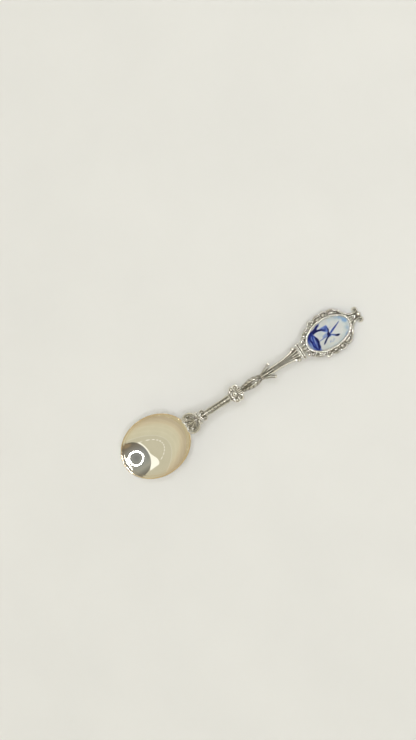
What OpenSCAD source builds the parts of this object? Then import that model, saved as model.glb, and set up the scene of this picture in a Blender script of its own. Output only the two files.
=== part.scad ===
// Souvenir teaspoon: a stamped bowl, a handle of small castings soldered end to end, and a
// finial that frames a domed porcelain plaque.
// It lies as it rests on a table: X from the bowl's tip to the crown, Y across, Z up.
// The origin is on the table, under the middle of the spoon's box.

/* [Bowl] */
// Length of the bowl, tip to heel
bowl_len = 34.4; // [32:0.1:37]
// Width of the bowl across its rim
bowl_w = 26; // [23:0.5:28]
// Height of the rim above the table
bowl_depth = 6.4; // [6:0.1:7]
// Thickness of the stamped metal
bowl_wall = 0.8; // [0.7:0.05:1]

/* [Handle] */
// Length of the cast rosette that covers the bowl's heel
rosette_len = 7.2; // [7:0.1:8]
// Length of the collar with two small scrolls
collar_len = 3.9; // [3.8:0.1:5]
// Length of the bar that carries the row of pearls
bar_len = 12.6; // [11.5:0.1:14]
// Width of the pearl bar at its collar end
bar_w = 2.6; // [2.4:0.1:2.8]
// Number of pearls in the row
pearls = 8; // [7:1:8]
// Length of the scroll knot
knot_len = 6.2; // [5.9:0.1:6.6]
// Length of the leaf-engraved baluster
baluster_len = 9.6; // [8.5:0.1:11]
// Greatest width of the baluster
baluster_w = 4; // [3.4:0.1:4.4]
// Length of the section with two side leaves
sprout_len = 5.9; // [5.4:0.1:6.4]
// Length of the fluted shaft
shaft_len = 9.3; // [8:0.1:10.5]
// Width of the fluted shaft
shaft_w = 2.6; // [2.4:0.1:2.8]
// Length of the capital under the crossbar
capital_len = 2.8; // [2.6:0.1:3.2]
// Length of the double crossbar along the handle
crossbar_len = 1.7; // [1.5:0.1:2]
// Width of the crossbar
crossbar_w = 7.2; // [6.6:0.1:7.8]

/* [Finial] */
// Length of the openwork frame
frame_len = 20.6; // [20.4:0.1:21]
// Width of the openwork frame over its scrolls
frame_w = 17.4; // [17:0.1:18]
// Length of the crown beyond the frame
crown_len = 5.8; // [5.6:0.1:6.2]
// Length of the porcelain plaque
plaque_len = 18.3; // [17.8:0.1:18.5]
// Width of the porcelain plaque
plaque_w = 11.2; // [10.8:0.1:11.4]
// Rise of the plaque's dome above its edge
plaque_dome = 1.5; // [1:0.1:2]

/* [Lie on the table] */
// Height of the handle's centreline where it leaves the bowl
heel_z = 6.9; // [6.8:0.05:7.1]
// Upward slope of the handle at the heel
heel_slope = 8; // [5:0.5:9]
// Downward slope of the finial
finial_slope = 9.5; // [8.5:0.5:10]
// Height of the centreline at the crown's tip
tip_z = 0.62; // [0.6:0.01:0.9]

/* [Hidden] */
SILVER = "#b9b2a2";
SILVER_DARK = "#8f8878";
BOWL_SILVER = "#cfc6a8";
PORCELAIN = "#dfe6ee";
CEMENT = "#a8a294";
WIRE_FN = 7;
BALL_FN = 11;
STEPS = 7;
EDGE_STEPS = 60;

bowl_tip_x = -(bowl_len + rosette_len + collar_len + bar_len + knot_len + baluster_len
             + sprout_len + shaft_len + capital_len + crossbar_len + frame_len + crown_len) / 2;
heel_x = bowl_tip_x + bowl_len;
collar_x = heel_x + rosette_len;
bar_x = collar_x + collar_len;
knot_x = bar_x + bar_len;
baluster_x = knot_x + knot_len;
sprout_x = baluster_x + baluster_len;
shaft_x = sprout_x + sprout_len;
capital_x = shaft_x + shaft_len;
crossbar_x = capital_x + capital_len;
finial_x = crossbar_x + crossbar_len;
crown_x = finial_x + frame_len;
tip_x = crown_x + crown_len;

finial_z = tip_z + (tip_x - finial_x) * tan(finial_slope);
along = 1 / cos(finial_slope);

neck_w = 2.2;
stem_t = 2;
frame_t = 1.3;
plate_t = 0.6;
collet_wall = 0.35;
collet_h = 2.3;
collet_gap = 0.05;
plate_bottom = -1.5;
plate_top = plate_bottom + plate_t;
cement_t = 0.5;
plaque_edge_t = 1.1;
plaque_x = (frame_len * along + 3.1) / 2;
collet_len = plaque_len + 2 * (collet_wall + collet_gap);
collet_w = plaque_w + 2 * (collet_wall + collet_gap);
frame_y = frame_w / 2;

// ---- Centreline of the handle: a cubic from the heel to the finial, then a straight line

function arch(t) =
    let (l = finial_x - heel_x)
    (2 * pow(t, 3) - 3 * pow(t, 2) + 1) * heel_z
    + (pow(t, 3) - 2 * pow(t, 2) + t) * l * tan(heel_slope)
    + (3 * pow(t, 2) - 2 * pow(t, 3)) * finial_z
    - (pow(t, 3) - pow(t, 2)) * l * tan(finial_slope);

function centre_z(x) =
    x > finial_x ? finial_z - (x - finial_x) * tan(finial_slope)
                 : arch((x - heel_x) / (finial_x - heel_x));

function chord(xa, xb) = norm([xb - xa, centre_z(xb) - centre_z(xa)]);

// Places a piece that is drawn from x = 0 along its own straight axis, from xa towards xb
module on_stem(xa, xb) {
    translate([xa, 0, centre_z(xa)])
        rotate([0, -atan2(centre_z(xb) - centre_z(xa), xb - xa), 0])
            children();
}

// ---- Shared shapes

function ellipse(length, width) =
    [for (i = [0 : EDGE_STEPS - 1])
        let (a = 360 * i / EDGE_STEPS)
        [length / 2 * cos(a), width / 2 * sin(a)]];

// Points along a curl that winds from radius r0 to r1 while it turns from angle a0 to a1
function curl(centre, r0, r1, a0, a1, steps = STEPS) =
    [for (i = [0 : steps])
        let (t = i / steps, r = r0 + (r1 - r0) * t, a = a0 + (a1 - a0) * t)
        [centre[0] + r * cos(a), centre[1] + r * sin(a), 0]];

// A wire along a path, thinner by taper at its far end
module wire(path, r, taper = 1) {
    n = len(path) - 1;
    for (i = [0 : n - 1])
        hull() {
            translate(path[i]) sphere(r = r * (1 + (taper - 1) * i / n), $fn = WIRE_FN);
            translate(path[i + 1]) sphere(r = r * (1 + (taper - 1) * (i + 1) / n), $fn = WIRE_FN);
        }
}

module ball(x, y, z, r) {
    translate([x, y, z]) sphere(r = r, $fn = BALL_FN);
}

module both_sides() {
    children();
    mirror([0, 1, 0]) children();
}

// A block with a straight taper in plan, centred on the axis
module tapered_bar(length, w0, w1, thickness) {
    translate([0, 0, -thickness / 2])
        linear_extrude(height = thickness)
            polygon([[0, -w0 / 2], [length, -w1 / 2], [length, w1 / 2], [0, w0 / 2]]);
}

// ---- Bowl

RINGS = 12;
AROUND = 48;
DEEP_SHIFT = 0.8;

// A point of a bowl surface: u runs from the deepest point (0) to the rim (1)
function bowl_point(u, a, half_len, half_w, depth) =
    [(1 - u * u) * DEEP_SHIFT + half_len * u * cos(a),
     half_w * u * sin(a),
     bowl_depth - depth * (1 - u * u)];

function bowl_rings(half_len, half_w, depth) =
    [for (i = [1 : RINGS], j = [0 : AROUND - 1])
        bowl_point(pow(i / RINGS, 0.8), 360 * j / AROUND, half_len, half_w, depth)];

module bowl_shell() {
    half_len = bowl_len / 2;
    half_w = bowl_w / 2;
    outer = bowl_rings(half_len, half_w, bowl_depth);
    inner = bowl_rings(half_len - bowl_wall, half_w - bowl_wall, bowl_depth - bowl_wall);
    poles = [bowl_point(0, 0, half_len, half_w, bowl_depth),
             bowl_point(0, 0, half_len, half_w, bowl_depth - bowl_wall)];
    count = RINGS * AROUND;
    last = (RINGS - 1) * AROUND;
    outer_sides = [for (i = [0 : RINGS - 2], j = [0 : AROUND - 1])
        let (k = (j + 1) % AROUND)
        [i * AROUND + j, (i + 1) * AROUND + j, (i + 1) * AROUND + k, i * AROUND + k]];
    inner_sides = [for (q = outer_sides) [for (v = [3 : -1 : 0]) q[v] + count]];
    rim = [for (j = [0 : AROUND - 1])
        let (k = (j + 1) % AROUND)
        [last + j, count + last + j, count + last + k, last + k]];
    bottoms = [for (j = [0 : AROUND - 1])
        let (k = (j + 1) % AROUND)
        each [[2 * count, j, k], [2 * count + 1, count + k, count + j]]];
    translate([bowl_tip_x + half_len, 0, 0])
        polyhedron(points = concat(outer, inner, poles),
                   faces = concat(outer_sides, inner_sides, rim, bottoms));
}

TONGUE_T = 1;
TONGUE_TOP = -0.5;

module bowl() {
    color(BOWL_SILVER)
        union() {
            bowl_shell();
            on_stem(heel_x, collar_x)
                translate([-1.1, 0, TONGUE_TOP - TONGUE_T / 2])
                    tapered_bar(rosette_len + 0.7, 6, 2.4, TONGUE_T);
        }
}

// ---- Handle castings

module heel_rosette() {
    rx = 3.65;
    ry = 4.1;
    border_r = 0.42;
    color(SILVER)
        on_stem(heel_x, collar_x) {
            translate([rx - 0.3, 0, TONGUE_TOP])
                linear_extrude(height = 0.9)
                    polygon(ellipse(2 * rx, 2 * ry));
            border = [for (a = [0 : 20 : 360]) [rx - 0.3 + rx * cos(a), ry * sin(a), 0.4]];
            wire(border, border_r);
            for (a = [-72 : 36 : 72])
                wire([[1.4, 0, 0.4], [1.4 + 3.4 * cos(a), 3.1 * sin(a), 0.5]], 0.55, 0.7);
            ball(1.4, 0, 0.6, 0.8);
            both_sides() ball(1.2, 3.2, 0.4, 0.6);
        }
}

module collar_scrolls() {
    l = chord(collar_x, bar_x);
    color(SILVER)
        on_stem(collar_x, bar_x) {
            tapered_bar(l, 3.1, bar_w, 1.7);
            both_sides() {
                wire(curl([2.4, 1.5], 0.85, 0.5, 200, -60), 0.36);
                ball(2.4, 1.5, 0.1, 0.35);
                ball(0.6, 1.7, 0, 0.55);
            }
            wire([[0.1, 2.4, 0.3], [1, 0.6, 0.85], [2.2, -0.8, 0.9], [3, -1.4, 0.6]], 0.3);
        }
}

RAIL_W = 0.42;
RAIL_H = 1.45;
BAR_BOTTOM = -0.85;
CHANNEL_Z = BAR_BOTTOM + 0.9;
bar_end_w = bar_w + 0.3;

module beaded_bar() {
    l = chord(bar_x, knot_x);
    color(SILVER)
        on_stem(bar_x, knot_x)
            difference() {
                translate([0, 0, BAR_BOTTOM + RAIL_H / 2])
                    tapered_bar(l, bar_w, bar_end_w, RAIL_H);
                translate([-1, 0, CHANNEL_Z + 1])
                    tapered_bar(l + 2, bar_w - 2 * RAIL_W, bar_end_w - 2 * RAIL_W, 2);
            }
}

module bead_wire() {
    l = chord(bar_x, knot_x);
    pitch = l / pearls;
    pearl_r = 0.58;
    core_r = 0.24;
    z = CHANNEL_Z + pearl_r;
    color(SILVER)
        on_stem(bar_x, knot_x) {
            for (i = [0 : pearls - 1])
                translate([pitch * (i + 0.5), 0, z]) sphere(r = pearl_r, $fn = 32);
            translate([0.1, 0, z]) rotate([0, 90, 0]) cylinder(r = core_r, h = l - 0.2, $fn = 24);
        }
}

module scroll_knot() {
    l = chord(knot_x, baluster_x);
    color(SILVER)
        on_stem(knot_x, baluster_x) {
            tapered_bar(l, bar_end_w - 0.3, neck_w, 1.7);
            ball(2.9, 0, 0.3, 1.15);
            both_sides() {
                wire([[0.2, 1, 0], [1.4, 1.6, 0], [2.4, 2.9, 0], [3.6, 3.35, 0]], 0.42);
                wire(curl([4.2, 2.2], 0.85, 0.55, 120, -240, 10), 0.4);
                ball(4.2, 2.2, 0.1, 0.5);
                ball(2.1, 2.8, 0.1, 0.55);
                wire([[5.1, 2.3, 0], [5.6, 1.6, 0], [l - 0.1, 1, 0]], 0.4);
            }
        }
}

module baluster() {
    l = chord(baluster_x, sprout_x);
    bulge = (baluster_w - neck_w) / 2;
    n = 14;
    color(SILVER)
        on_stem(baluster_x, sprout_x)
            rotate([0, 90, 0])
                rotate_extrude($fn = 48)
                    polygon(concat([[0, 0]],
                        [for (i = [0 : n])
                            let (t = i / n)
                            [neck_w / 2 + bulge * pow(sin(180 * pow(t, 1.1)), 1.4), l * t]],
                        [[0, l]]));
}

module leaf_sprouts() {
    l = chord(sprout_x, shaft_x);
    color(SILVER)
        on_stem(sprout_x, shaft_x) {
            tapered_bar(l, neck_w, shaft_w, stem_t);
            both_sides() {
                wire([[0.5, 0.7, 0.1], [1.4, 1.05, 0.2], [2.7, 1.45, 0.25], [3.8, 2, 0.2]], 0.55);
                wire([[3.8, 2, 0.2], [5, 2.9, 0.15]], 0.62);
            }
            wire([[0.2, 0, 0.7], [2.4, 0, 1], [4.4, 0, 0.9]], 0.5, 0.7);
        }
}

module fluted_shaft() {
    l = chord(shaft_x, capital_x);
    flare = 0.75;
    flute_r = 0.3;
    flute_gap = 0.68;
    n = 10;
    edge = [for (i = [0 : n]) let (t = i / n) [l * t, shaft_w / 2 + flare * pow(t, 4)]];
    color(SILVER)
        on_stem(shaft_x, capital_x)
            difference() {
                translate([0, 0, -stem_t / 2])
                    linear_extrude(height = stem_t)
                        polygon(concat(edge, [for (i = [n : -1 : 0]) [edge[i][0], -edge[i][1]]]));
                for (y = [-flute_gap, 0, flute_gap], z = [-stem_t / 2, stem_t / 2])
                    translate([-1, y, z]) rotate([0, 90, 0]) cylinder(r = flute_r, h = l, $fn = 24);
            }
}

module capital() {
    l = chord(capital_x, crossbar_x);
    rib_r = 0.34;
    color(SILVER)
        on_stem(capital_x, crossbar_x) {
            tapered_bar(l, 4.1, 5, stem_t);
            wire([[rib_r, 0, 0.8], [l - rib_r, 0, 0.85]], rib_r);
            both_sides() {
                wire([[rib_r, 0.85, 0.8], [l - rib_r, 1.25, 0.85]], rib_r);
                wire(curl([1.35, 2.35], 0.85, 0.5, 250, -60), 0.42);
                ball(1.35, 2.45, 0.2, 0.75);
            }
        }
}

module crossbar() {
    l = chord(crossbar_x, finial_x);
    bead_r = l / 4 + 0.02;
    reach = crossbar_w / 2 - bead_r;
    color(SILVER)
        on_stem(crossbar_x, finial_x) {
            translate([0, -reach, -0.9]) cube([l, 2 * reach, 1.5]);
            for (x = [l / 4, 3 * l / 4]) {
                translate([x, -reach, 0.6])
                    rotate([-90, 0, 0]) cylinder(r = bead_r, h = 2 * reach, $fn = 32);
                both_sides() translate([x, reach, 0.6]) sphere(r = bead_r, $fn = 32);
            }
        }
}

// ---- Finial, drawn on its own straight axis from the crossbar

module on_finial() {
    on_stem(finial_x, tip_x) children();
}

module finial_frame() {
    scroll_r = 0.52;
    color(SILVER)
        on_finial() {
            difference() {
                translate([plaque_x, 0, -frame_t / 2])
                    linear_extrude(height = frame_t)
                        polygon(ellipse(collet_len + 1.5, collet_w + 1.8));
                translate([plaque_x, 0, -frame_t])
                    linear_extrude(height = 2 * frame_t)
                        polygon(ellipse(collet_len, collet_w));
                translate([-1, -5, -2]) cube([1, 10, 4]);
                translate([frame_len * along, -5, -2]) cube([3, 10, 4]);
            }
            both_sides() {
                wire(curl([1.2, 2.5], 0.95, 0.5, -60, 200), 0.45);
                wire(curl([2.6, 4.2], 0.85, 0.45, -100, 160), 0.42);
                wire([[1.9, 3.4, 0], [3.4, 4.6, 0], [4.7, 5.6, 0], [6.2, 6.2, 0]], 0.5);
                wire(curl([7.9, frame_y - 1.75], 0.95, 0.55, 230, -40), scroll_r);
                ball(9.1, frame_y - 1.55, 0, 0.5);
                wire([[9.5, frame_y - 1.75, 0], [10.6, frame_y - 0.75, 0],
                      [11.6, frame_y - 0.75, 0], [12.4, frame_y - 1.2, 0]], scroll_r);
                ball(12.9, frame_y - 0.75, 0, 0.5);
                wire(curl([14.5, frame_y - 1.6], 1.05, 1, 190, -60), 0.55);
                ball(14.1, frame_y - 1.9, 0.1, 0.62);
                wire([[15.9, frame_y - 1.5, 0], [17.3, frame_y - 1.35, 0],
                      [18.5, frame_y - 2.1, 0], [19.2, frame_y - 3.2, 0]], scroll_r);
                ball(19.8, frame_y - 3.7, 0, 0.6);
                for (a = [64 : 13 : 116])
                    ball(plaque_x + (collet_len / 2 + 0.7) * cos(a),
                         (collet_w / 2 + 0.75) * sin(a), 0.3, 0.6);
            }
        }
}

module crown() {
    x0 = frame_len * along;
    knob_r = 0.85;
    x1 = (tip_x - knob_r - finial_x) * along;
    color(SILVER)
        on_finial() {
            translate([x0, 0, -0.5])
                linear_extrude(height = 0.8)
                    polygon([[0, -3.2], [0.9, -2], [2, -1.4], [3.4, -1.2], [x1 - x0, -0.5],
                             [x1 - x0, 0.5], [3.4, 1.2], [2, 1.4], [0.9, 2], [0, 3.2]]);
            ball(x0 + 1.1, 0, 0.25, 0.5);
            ball(x0 + 2.4, 0, 0.1, 0.75);
            translate([x1, 0, 0]) sphere(r = knob_r, $fn = 32);
            both_sides()
                wire([[x0 - 0.1, 3.6, 0], [x0 + 0.7, 2.4, 0], [x0 + 1.9, 1.55, 0],
                      [x0 + 3.3, 1.35, 0], [x0 + 4.5, 1.75, 0], [x0 + 5, 2.45, 0],
                      [x0 + 4.5, 2.95, 0], [x0 + 3.9, 2.85, 0]], 0.5, 0.9);
        }
}

module collet_outline(extra) {
    polygon(ellipse(collet_len + 2 * extra, collet_w + 2 * extra));
}

module back_plate() {
    color(SILVER_DARK)
        on_finial()
            translate([plaque_x, 0, plate_bottom])
                linear_extrude(height = plate_t) collet_outline(0);
}

module collet() {
    color(SILVER)
        on_finial()
            translate([plaque_x, 0, plate_top])
                linear_extrude(height = collet_h)
                    difference() {
                        collet_outline(0);
                        collet_outline(-collet_wall);
                    }
}

module cement_bed() {
    color(CEMENT)
        on_finial()
            translate([plaque_x, 0, plate_top])
                linear_extrude(height = cement_t)
                    polygon(ellipse(plaque_len, plaque_w));
}

DOME_RINGS = 7;

module porcelain_plaque() {
    count = EDGE_STEPS;
    edge = ellipse(plaque_len, plaque_w);
    z0 = plate_top + cement_t;
    z1 = z0 + plaque_edge_t;
    domed = [for (i = [0 : DOME_RINGS - 1], p = edge)
        let (u = cos(90 * i / DOME_RINGS), z = z1 + plaque_dome * sin(90 * i / DOME_RINGS))
        [p[0] * u, p[1] * u, z]];
    points = concat([for (p = edge) [p[0], p[1], z0]], domed, [[0, 0, z1 + plaque_dome]]);
    sides = [for (i = [0 : DOME_RINGS - 1], j = [0 : count - 1])
        let (k = (j + 1) % count)
        [i * count + j, (i + 1) * count + j, (i + 1) * count + k, i * count + k]];
    top = [for (j = [0 : count - 1])
        [len(points) - 1, DOME_RINGS * count + (j + 1) % count, DOME_RINGS * count + j]];
    color(PORCELAIN)
        on_finial()
            translate([plaque_x, 0, 0])
                polyhedron(points = points,
                           faces = concat(sides, top, [[for (j = [0 : count - 1]) j]]));
}

bowl();
heel_rosette();
collar_scrolls();
beaded_bar();
bead_wire();
scroll_knot();
baluster();
leaf_sprouts();
fluted_shaft();
capital();
crossbar();
finial_frame();
crown();
back_plate();
collet();
cement_bed();
porcelain_plaque();
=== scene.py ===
"""Looks of a souvenir spoon: cast silver handle, polished bowl, porcelain plaque with a painted mill.

Shapes are drawn in millimetres on a straight axis, the way the castings would lie on a bench.
on_stem() and on_finial() then bend them onto the handle's centreline in the CAD's frame.
"""
import math

import bpy
import numpy as np
from mathutils import Matrix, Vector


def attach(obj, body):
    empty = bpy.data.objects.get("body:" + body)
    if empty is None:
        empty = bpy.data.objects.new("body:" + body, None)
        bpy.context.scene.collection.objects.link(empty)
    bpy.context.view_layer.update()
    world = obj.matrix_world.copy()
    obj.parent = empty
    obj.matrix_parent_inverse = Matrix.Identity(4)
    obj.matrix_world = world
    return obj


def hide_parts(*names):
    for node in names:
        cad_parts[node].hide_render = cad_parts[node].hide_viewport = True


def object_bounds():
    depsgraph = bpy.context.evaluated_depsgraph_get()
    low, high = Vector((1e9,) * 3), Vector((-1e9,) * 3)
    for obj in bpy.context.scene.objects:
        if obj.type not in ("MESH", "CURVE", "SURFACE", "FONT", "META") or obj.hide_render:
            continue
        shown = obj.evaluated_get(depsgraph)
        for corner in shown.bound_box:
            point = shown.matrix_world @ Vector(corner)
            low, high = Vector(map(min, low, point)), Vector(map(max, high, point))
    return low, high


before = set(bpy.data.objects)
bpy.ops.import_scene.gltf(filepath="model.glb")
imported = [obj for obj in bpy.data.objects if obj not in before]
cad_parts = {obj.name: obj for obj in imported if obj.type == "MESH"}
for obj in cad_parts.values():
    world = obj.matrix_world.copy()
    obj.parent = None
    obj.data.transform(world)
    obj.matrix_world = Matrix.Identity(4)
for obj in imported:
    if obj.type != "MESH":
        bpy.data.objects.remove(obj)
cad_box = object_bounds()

MM = 0.001
BODY = "root"

# ---- Driving dimensions, in millimetres; stations along the spoon follow from the CAD's box

LENGTHS = {
    "bowl": 34.4, "heel_rosette": 7.2, "collar_scrolls": 3.9, "beaded_bar": 12.6,
    "scroll_knot": 6.2, "baluster": 9.6, "leaf_sprouts": 5.9, "fluted_shaft": 9.3,
    "capital": 2.8, "crossbar": 1.7, "finial_frame": 20.6, "crown": 5.8,
}
BOWL_W = 26.0
BOWL_DEPTH = 6.4
BOWL_WALL = 0.8
DEEP_SHIFT = 0.8
LIP_R = 0.25
HEEL_Z = 6.9
HEEL_SLOPE = math.radians(8)
FINIAL_SLOPE = math.radians(9.5)
TIP_Z = 0.62
PLAQUE_L = 18.3
PLAQUE_W = 11.2
PLAQUE_DOME = 1.5
# The setting's layers, stacked up from the plate's underside beneath the finial's axis
PLATE_BOTTOM = -1.5
PLATE_T = 0.6
COLLET_WALL = 0.35
COLLET_GAP = 0.05
COLLET_H = 2.3
CEMENT_T = 0.5
PLAQUE_SEAT = PLATE_BOTTOM + PLATE_T + CEMENT_T
PLAQUE_EDGE = 1.1
# The frame's half-width over its scrolls, and how much longer its foot end is than its crown end
FRAME_HALF_W = 8.7
FRAME_FOOT = 3.1

# Voxel sizes for the finial's castings and the stem's, and how often a casting is softened
FINE = 0.075
FINER = 0.055
SOFTEN = 2

# Where each piece starts along X, from the bowl's tip on
START = {}
station = cad_box[0].x / MM
for part_name, part_length in LENGTHS.items():
    START[part_name] = station
    station += part_length
TIP_X = station
HEEL_X = START["heel_rosette"]
FINIAL_X = START["finial_frame"]
FINIAL_Z = TIP_Z + (TIP_X - FINIAL_X) * math.tan(FINIAL_SLOPE)
ALONG = 1 / math.cos(FINIAL_SLOPE)
FRAME_L = LENGTHS["finial_frame"] * ALONG
PLAQUE_X = (FRAME_L + FRAME_FOOT) / 2
COLLET_L = PLAQUE_L + 2 * (COLLET_WALL + COLLET_GAP)
COLLET_W = PLAQUE_W + 2 * (COLLET_WALL + COLLET_GAP)


# ---- From the bench to the CAD's frame

def centre_z(x):
    """Height of the handle's centreline: a cubic from the heel to the finial, then a line."""
    span = FINIAL_X - HEEL_X
    t = (x - HEEL_X) / span
    arch = ((2 * t**3 - 3 * t**2 + 1) * HEEL_Z
            + (t**3 - 2 * t**2 + t) * span * math.tan(HEEL_SLOPE)
            + (3 * t**2 - 2 * t**3) * FINIAL_Z
            - (t**3 - t**2) * span * math.tan(FINIAL_SLOPE))
    line = FINIAL_Z - (x - FINIAL_X) * math.tan(FINIAL_SLOPE)
    return np.where(x > FINIAL_X, line, arch)


def on_stem(v):
    """Bends points drawn along a straight stem onto the arched centreline."""
    x, y, z = v.T
    step = 0.05
    slope = np.arctan2(centre_z(x + step) - centre_z(x - step), 2 * step)
    return np.column_stack([x - z * np.sin(slope), y, centre_z(x) + z * np.cos(slope)])


def on_finial(v):
    """Tilts points drawn from the finial's start onto its plane."""
    x, y, z = v.T
    c, s = math.cos(FINIAL_SLOPE), math.sin(FINIAL_SLOPE)
    return np.column_stack([FINIAL_X + x * c + z * s, y, FINIAL_Z - x * s + z * c])


def as_is(v):
    return v


# ---- Shape building

class Shape:
    """Closed surfaces gathered into one mesh, in millimetres."""

    def __init__(self, x0=0.0):
        self.x0 = x0
        self.verts = []
        self.faces = []
        self.count = 0

    def add(self, verts, faces, mirrored=False):
        """Adds a surface, and its mirror image across the spoon's axis when mirrored is true."""
        verts = np.asarray(verts, float) + [self.x0, 0, 0]
        self.verts.append(verts)
        self.faces += [[i + self.count for i in f] for f in faces]
        self.count += len(verts)
        if mirrored:
            self.verts.append(verts * [1, -1, 1])
            self.faces += [[i + self.count for i in reversed(f)] for f in faces]
            self.count += len(verts)

    def tube(self, path, flat=1.0):
        """A round-ended tube along rows of x, y, z and radius, on both sides if it is off the axis."""
        sides = 14
        path = np.asarray(path, float)
        p, r = path[:, :3], path[:, 3]
        t = np.gradient(p, axis=0)
        t /= np.linalg.norm(t, axis=1)[:, None]
        cap = np.radians([25, 50, 75])
        out, size = np.sin(cap), np.cos(cap)
        centres = np.vstack([p[0] - np.outer(out[::-1], t[0] * r[0]), p,
                             p[-1] + np.outer(out, t[-1] * r[-1])])
        radii = np.concatenate([size[::-1] * r[0], r, size * r[-1]])
        along = np.vstack([[t[0]] * len(out), t, [t[-1]] * len(out)])
        side = np.cross(along, [0, 0, 1.0])
        steep = np.linalg.norm(side, axis=1) < 1e-3
        side[steep] = [0, 1, 0]
        side /= np.linalg.norm(side, axis=1)[:, None]
        up = np.cross(side, along)
        phi = turn(sides)
        ring = (np.cos(phi)[:, None, None] * side[None] + flat * np.sin(phi)[:, None, None] * up[None])
        verts = (centres[None] + radii[None, :, None] * ring).transpose(1, 0, 2).reshape(-1, 3)
        one_sided = np.all(p[:, 1] > 0) or np.all(p[:, 1] < 0)
        self.add(verts, grid_faces(len(centres), sides), one_sided)

    def wire(self, points, flat=1.0):
        """A tube along a smooth curve through rows of x, y, z and radius."""
        self.tube(spline(points, 7), flat)

    def ball(self, x, y, z, r, flat=1.0):
        """A ball, flattened along z by flat, on both sides if it is off the axis."""
        n, sides = 9, 16
        a = np.linspace(-np.pi / 2, np.pi / 2, n + 2)[1:-1]
        phi = turn(sides)
        verts = [[x + r * math.cos(i) * math.cos(j), y + r * math.cos(i) * math.sin(j),
                  z + r * flat * math.sin(i)] for i in a for j in phi]
        self.add(verts, [list(reversed(f)) for f in grid_faces(n, sides)], y != 0)

    def loft(self, xs, section):
        """A solid along x whose cross-section is section(x), a closed row of y and z."""
        rings = [np.column_stack([np.full(len(s), x), s]) for x, s in ((x, section(x)) for x in xs)]
        self.add(np.concatenate(rings), grid_faces(len(xs), len(rings[0])))

    def mesh(self):
        return np.concatenate(self.verts), self.faces


def grid_faces(rings, sides):
    """Faces of a closed tube: quads between rings, and one cap at each end."""
    faces = [[i * sides + j, i * sides + (j + 1) % sides,
              (i + 1) * sides + (j + 1) % sides, (i + 1) * sides + j]
             for i in range(rings - 1) for j in range(sides)]
    last = (rings - 1) * sides
    return faces + [list(range(sides))[::-1], [last + j for j in range(sides)]]


def spline(points, per):
    """A smooth curve with per steps between the rows of points, by Catmull and Rom's rule."""
    p = np.asarray(points, float)
    p = np.vstack([2 * p[0] - p[1], p, 2 * p[-1] - p[-2]])
    out = []
    for i in range(1, len(p) - 2):
        for t in np.linspace(0, 1, per, endpoint=False):
            out.append(0.5 * (2 * p[i] + (p[i + 1] - p[i - 1]) * t
                              + (2 * p[i - 1] - 5 * p[i] + 4 * p[i + 1] - p[i + 2]) * t**2
                              + (3 * p[i] - p[i - 1] - 3 * p[i + 1] + p[i + 2]) * t**3))
    out.append(p[-2])
    return np.array(out)


def curl(cx, cy, r0, r1, a0, a1, w0, w1, z=0.0, n=26):
    """Rows for a scroll that winds from radius r0 to r1 as it turns from angle a0 to a1."""
    t = np.linspace(0, 1, n)
    r = r0 + (r1 - r0) * t
    a = np.radians(a0 + (a1 - a0) * t)
    return np.column_stack([cx + r * np.cos(a), cy + r * np.sin(a), np.full(n, z), w0 + (w1 - w0) * t])


def unit(value):
    """The value, kept between 0 and 1."""
    return np.clip(value, 0, 1)


def cos_sin(degrees):
    return math.cos(math.radians(degrees)), math.sin(math.radians(degrees))


def turn(n):
    """n angles evenly round a circle."""
    return np.linspace(0, 2 * np.pi, n, endpoint=False)


def superellipse(half_w, half_h, power, n=40):
    a = turn(n)
    c, s = np.cos(a), np.sin(a)
    return np.column_stack([half_w * np.sign(c) * np.abs(c) ** (2 / power),
                            half_h * np.sign(s) * np.abs(s) ** (2 / power)])


def recast(shape, voxel):
    """Fuses a shape's surfaces into one skin, as a casting has, and returns verts and quads."""
    verts, faces = shape.mesh()
    mesh = bpy.data.meshes.new("recast")
    mesh.from_pydata(verts.tolist(), [], faces)
    obj = bpy.data.objects.new("recast", mesh)
    bpy.context.scene.collection.objects.link(obj)
    mod = obj.modifiers.new("fuse", "REMESH")
    mod.mode = "VOXEL"
    mod.voxel_size = voxel
    done = obj.evaluated_get(bpy.context.evaluated_depsgraph_get()).to_mesh()
    v = np.empty(len(done.vertices) * 3)
    done.vertices.foreach_get("co", v)
    f = np.empty(len(done.loops), int)
    done.loops.foreach_get("vertex_index", f)
    bpy.data.objects.remove(obj)
    bpy.data.meshes.remove(mesh)
    return v.reshape(-1, 3), f.reshape(-1, 4)


def edges_of(faces):
    f = np.asarray(faces)
    e = np.concatenate([f[:, [i, (i + 1) % f.shape[1]]] for i in range(f.shape[1])])
    return np.unique(np.sort(e, axis=1), axis=0)


def relax(v, edges, passes):
    """Moves each point halfway to the mean of its neighbours, as many times as passes says."""
    n = len(v)
    degree = np.bincount(edges.ravel(), minlength=n)[:, None]
    v = v.copy()
    for _ in range(passes):
        total = np.column_stack([
            np.bincount(edges[:, 0], v[edges[:, 1], k], n) + np.bincount(edges[:, 1], v[edges[:, 0], k], n)
            for k in range(3)])
        v += 0.5 * (total / degree - v)
    return v


def normals_of(v, f):
    f = np.asarray(f)
    n = np.cross(v[f[:, 2]] - v[f[:, 0]], v[f[:, -1]] - v[f[:, 1]])
    out = np.zeros_like(v)
    for k in range(f.shape[1]):
        for c in range(3):
            out[:, c] += np.bincount(f[:, k], n[:, c], len(v))
    return out / np.maximum(np.linalg.norm(out, axis=1), 1e-12)[:, None]


def hollow(v, f):
    """How sunken each point is beside its surroundings, ranked from 0 on ridges to 1 in grooves."""
    edges = edges_of(f)
    normal = normals_of(v, f)
    smooth, done, total = v, 0, 0.0
    for passes, weight in ((8, 1.0), (40, 1.0), (130, 0.8)):
        smooth = relax(smooth, edges, passes - done)
        done = passes
        total = total + weight * np.sum((smooth - v) * normal, axis=1) / math.sqrt(passes)
    return np.argsort(np.argsort(total)) / len(v)


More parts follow.
